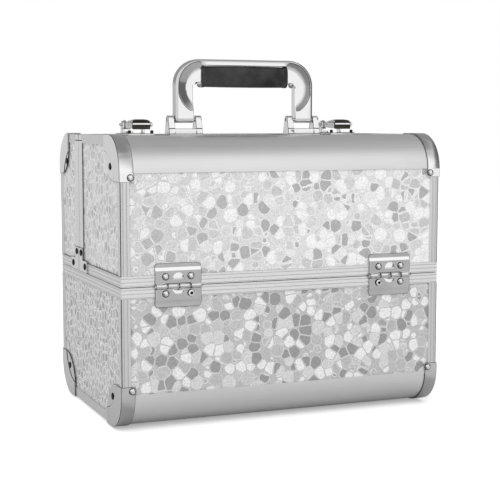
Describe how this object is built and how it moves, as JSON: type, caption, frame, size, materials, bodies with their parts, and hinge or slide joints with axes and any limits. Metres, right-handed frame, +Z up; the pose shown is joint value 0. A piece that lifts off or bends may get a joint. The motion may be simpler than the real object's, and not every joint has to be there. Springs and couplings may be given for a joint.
{
  "type": "makeup train case",
  "caption": "Makeup train case with rounded metal edges, split lids that open outwards, cantilever trays on parallel arms, a folding handle and draw latches.",
  "frame": {"origin": "on the floor under the middle of the case", "axes": "+Z up, -Y towards the front face, +X to the right along the width"},
  "size_m": [0.3072, 0.2142, 0.3225],
  "materials": {
    "mosaic_board": "gloss laminate with a pebble mosaic in white and greys",
    "black_board": "matt",
    "satin_aluminium": "satin anodised",
    "ribbed_aluminium": "satin anodised with fine lengthwise ribs",
    "black_lining": "short velvet pile",
    "tray_plastic": "fine grain",
    "grip_leather": "semi-gloss grain",
    "foot_rubber": "matt",
    "steel": "zinc plated",
    "chrome": "polished"
  },
  "bodies": {
    "base": {"base_long_panels": "mosaic_board", "base_side_panels": "mosaic_board", "base_bottom_panel": "black_board", "base_quarter_rounds": "satin_aluminium", "base_edge_profiles": "ribbed_aluminium", "base_rim_profiles": "ribbed_aluminium", "base_corner_caps": "chrome", "base_rivets": "chrome", "base_feet": "foot_rubber", "base_lining": "black_lining", "hinge_lower_leaves": "chrome", "hinge_pins": "steel", "arm_pivot_studs": "steel"},
    "front_lid": {"front_lid_front_panel": "mosaic_board", "front_lid_top_panel": "mosaic_board", "front_lid_side_panels": "mosaic_board", "front_lid_quarter_round": "satin_aluminium", "front_lid_edge_profiles": "ribbed_aluminium", "front_lid_rim_profiles": "ribbed_aluminium", "front_lid_split_profiles": "ribbed_aluminium", "front_lid_corner_caps": "chrome", "front_lid_corner_plates": "chrome", "front_lid_rivets": "chrome", "front_lid_lining": "black_lining", "front_hinge_leaves": "chrome", "front_tray_studs": "steel", "handle_brackets": "chrome", "handle_pins": "steel", "latch_bases": "chrome", "latch_pins": "steel"},
    "rear_lid": {"rear_lid_rear_panel": "mosaic_board", "rear_lid_top_panel": "mosaic_board", "rear_lid_side_panels": "mosaic_board", "rear_lid_quarter_round": "satin_aluminium", "rear_lid_edge_profiles": "ribbed_aluminium", "rear_lid_rim_profiles": "ribbed_aluminium", "rear_lid_split_profiles": "ribbed_aluminium", "rear_lid_corner_caps": "chrome", "rear_lid_corner_plates": "chrome", "rear_lid_rivets": "chrome", "rear_lid_lining": "black_lining", "rear_hinge_leaves": "chrome", "rear_tray_studs": "steel", "latch_strikes": "chrome"},
    "handle": {"handle_bow": "chrome", "handle_grip": "grip_leather", "grip_screws": "steel"},
    "latch_lever_left": {"latch_lever_left": "chrome"},
    "latch_lever_right": {"latch_lever_right": "chrome"},
    "latch_hook_left": {"latch_hook_left": "chrome"},
    "latch_hook_right": {"latch_hook_right": "chrome"},
    "front_outer_arms": {"front_outer_arms": "steel"},
    "front_inner_arms": {"front_inner_arms": "steel"},
    "front_lower_tray": {"front_lower_tray": "tray_plastic"},
    "front_upper_tray": {"front_upper_tray": "tray_plastic"},
    "rear_outer_arms": {"rear_outer_arms": "steel"},
    "rear_inner_arms": {"rear_inner_arms": "steel"},
    "rear_lower_tray": {"rear_lower_tray": "tray_plastic"},
    "rear_upper_tray": {"rear_upper_tray": "tray_plastic"}
  },
  "joints": [
    {"name": "front_lid_hinge", "type": "hinge", "parent": "base", "child": "front_lid", "pos_m": [0, -0.1049, 0.1255], "axis": [1, 0, 0], "range_deg": [0, 90]},
    {"name": "rear_lid_hinge", "type": "hinge", "parent": "base", "child": "rear_lid", "pos_m": [0, 0.1049, 0.1255], "axis": [-1, 0, 0], "range_deg": [0, 90]},
    {"name": "handle_fold", "type": "hinge", "parent": "front_lid", "child": "handle", "pos_m": [0, 0, 0.2661], "axis": [1, 0, 0], "range_deg": [-88, 88]},
    {"name": "latch_lever_left_turn", "type": "hinge", "parent": "front_lid", "child": "latch_lever_left", "pos_m": [-0.102, 0.024, 0.2615], "axis": [-1, 0, 0], "range_deg": [-6, 65]},
    {"name": "latch_hook_left_turn", "type": "hinge", "parent": "latch_lever_left", "child": "latch_hook_left", "pos_m": [-0.102, 0.015, 0.2605], "axis": [-1, 0, 0], "range_deg": [-114.5, 11]},
    {"name": "latch_lever_right_turn", "type": "hinge", "parent": "front_lid", "child": "latch_lever_right", "pos_m": [0.102, 0.024, 0.2615], "axis": [-1, 0, 0], "range_deg": [-6, 65]},
    {"name": "latch_hook_right_turn", "type": "hinge", "parent": "latch_lever_right", "child": "latch_hook_right", "pos_m": [0.102, 0.015, 0.2605], "axis": [-1, 0, 0], "range_deg": [-114.5, 11]},
    {"name": "front_outer_arm_swing", "type": "hinge", "parent": "base", "child": "front_outer_arms", "pos_m": [0, -0.082, 0.118], "axis": [1, 0, 0], "range_deg": [0, 90]},
    {"name": "front_inner_arm_swing", "type": "hinge", "parent": "base", "child": "front_inner_arms", "pos_m": [0, -0.066, 0.118], "axis": [1, 0, 0], "range_deg": [0, 90]},
    {"name": "front_lower_tray_level", "type": "hinge", "parent": "front_outer_arms", "child": "front_lower_tray", "pos_m": [0, -0.058, 0.142], "axis": [1, 0, 0], "range_deg": [-90, 0]},
    {"name": "front_upper_tray_level", "type": "hinge", "parent": "front_outer_arms", "child": "front_upper_tray", "pos_m": [0, -0.024, 0.176], "axis": [1, 0, 0], "range_deg": [-90, 0]},
    {"name": "rear_outer_arm_swing", "type": "hinge", "parent": "base", "child": "rear_outer_arms", "pos_m": [0, 0.082, 0.118], "axis": [-1, 0, 0], "range_deg": [0, 90]},
    {"name": "rear_inner_arm_swing", "type": "hinge", "parent": "base", "child": "rear_inner_arms", "pos_m": [0, 0.066, 0.118], "axis": [-1, 0, 0], "range_deg": [0, 90]},
    {"name": "rear_lower_tray_level", "type": "hinge", "parent": "rear_outer_arms", "child": "rear_lower_tray", "pos_m": [0, 0.058, 0.142], "axis": [-1, 0, 0], "range_deg": [-90, 0]},
    {"name": "rear_upper_tray_level", "type": "hinge", "parent": "rear_outer_arms", "child": "rear_upper_tray", "pos_m": [0, 0.024, 0.176], "axis": [-1, 0, 0], "range_deg": [-90, 0]}
  ],
  "couplings": [
    {"joint": "latch_hook_left_turn", "follows": "latch_lever_left_turn", "ratio": -1.75},
    {"joint": "latch_hook_right_turn", "follows": "latch_lever_right_turn", "ratio": -1.75},
    {"joint": "front_outer_arm_swing", "follows": "front_lid_hinge", "ratio": 1},
    {"joint": "front_inner_arm_swing", "follows": "front_lid_hinge", "ratio": 1},
    {"joint": "front_lower_tray_level", "follows": "front_lid_hinge", "ratio": -1},
    {"joint": "front_upper_tray_level", "follows": "front_lid_hinge", "ratio": -1},
    {"joint": "rear_outer_arm_swing", "follows": "rear_lid_hinge", "ratio": 1},
    {"joint": "rear_inner_arm_swing", "follows": "rear_lid_hinge", "ratio": 1},
    {"joint": "rear_lower_tray_level", "follows": "rear_lid_hinge", "ratio": -1},
    {"joint": "rear_upper_tray_level", "follows": "rear_lid_hinge", "ratio": -1}
  ]
}
